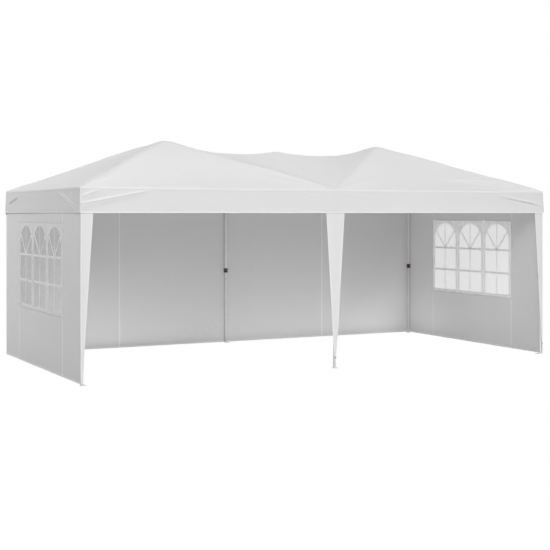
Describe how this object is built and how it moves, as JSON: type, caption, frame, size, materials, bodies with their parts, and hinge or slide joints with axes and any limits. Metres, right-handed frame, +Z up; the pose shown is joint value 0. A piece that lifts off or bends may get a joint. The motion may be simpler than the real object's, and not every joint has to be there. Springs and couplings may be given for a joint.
{
  "type": "marquee tent",
  "caption": "White pop-up party tent: twin-peaked canopy with a deep valance, telescoping steel legs, closed back, end walls with arched windows and an open front.",
  "frame": {"origin": "on the ground at the middle of the plan, level with the undersides of the six foot plates", "axes": "+X along the 6 m side towards the right end as seen from the open front, +Y from the open front to the back walls, +Z up"},
  "size_m": [6, 3, 2.635],
  "materials": {
    "canopy_cloth": "white coated polyester, fine weave, matt with a soft sheen",
    "wall_cloth": "thin white polyester, matt, light comes through",
    "clear_film": "thin clear plastic film, slightly wavy",
    "coated_steel": "light grey powder coat on square tube",
    "adjuster_plastic": "dark red moulded plastic"
  },
  "bodies": {
    "tent": {"roof_left_front": "canopy_cloth", "roof_left_back": "canopy_cloth", "roof_left_end": "canopy_cloth", "roof_left_inner": "canopy_cloth", "roof_right_front": "canopy_cloth", "roof_right_back": "canopy_cloth", "roof_right_end": "canopy_cloth", "roof_right_inner": "canopy_cloth", "valance_front": "canopy_cloth", "valance_back": "canopy_cloth", "valance_left": "canopy_cloth", "valance_right": "canopy_cloth", "leg_cover_front_left": "canopy_cloth", "leg_cover_front_middle": "canopy_cloth", "leg_cover_front_right": "canopy_cloth", "end_wall_left": "wall_cloth", "end_wall_right": "wall_cloth", "back_wall_left": "wall_cloth", "back_wall_right": "wall_cloth", "window_film_left": "clear_film", "window_film_right": "clear_film", "upper_leg_front_left": "coated_steel", "upper_leg_front_middle": "coated_steel", "upper_leg_front_right": "coated_steel", "upper_leg_back_left": "coated_steel", "upper_leg_back_middle": "coated_steel", "upper_leg_back_right": "coated_steel", "adjuster_front_left": "adjuster_plastic", "adjuster_front_middle": "adjuster_plastic", "adjuster_front_right": "adjuster_plastic", "adjuster_back_left": "adjuster_plastic", "adjuster_back_middle": "adjuster_plastic", "adjuster_back_right": "adjuster_plastic", "truss_front_left": "coated_steel", "truss_front_right": "coated_steel", "truss_back_left": "coated_steel", "truss_back_right": "coated_steel", "truss_end_left": "coated_steel", "truss_end_right": "coated_steel", "truss_middle_with_pole": "coated_steel", "inner_truss_left_with_pole": "coated_steel", "inner_truss_right_with_pole": "coated_steel"},
    "leg_front_left": {"lower_leg_front_left": "coated_steel"},
    "leg_front_middle": {"lower_leg_front_middle": "coated_steel"},
    "leg_front_right": {"lower_leg_front_right": "coated_steel"},
    "leg_back_left": {"lower_leg_back_left": "coated_steel"},
    "leg_back_middle": {"lower_leg_back_middle": "coated_steel"},
    "leg_back_right": {"lower_leg_back_right": "coated_steel"}
  },
  "joints": [
    {"name": "slide_front_left", "type": "slide", "parent": "tent", "child": "leg_front_left", "axis": [0, 0, 1], "range_m": [0, 0.9]},
    {"name": "slide_front_middle", "type": "slide", "parent": "tent", "child": "leg_front_middle", "axis": [0, 0, 1], "range_m": [0, 0.9]},
    {"name": "slide_front_right", "type": "slide", "parent": "tent", "child": "leg_front_right", "axis": [0, 0, 1], "range_m": [0, 0.9]},
    {"name": "slide_back_left", "type": "slide", "parent": "tent", "child": "leg_back_left", "axis": [0, 0, 1], "range_m": [0, 0.9]},
    {"name": "slide_back_middle", "type": "slide", "parent": "tent", "child": "leg_back_middle", "axis": [0, 0, 1], "range_m": [0, 0.9]},
    {"name": "slide_back_right", "type": "slide", "parent": "tent", "child": "leg_back_right", "axis": [0, 0, 1], "range_m": [0, 0.9]}
  ]
}
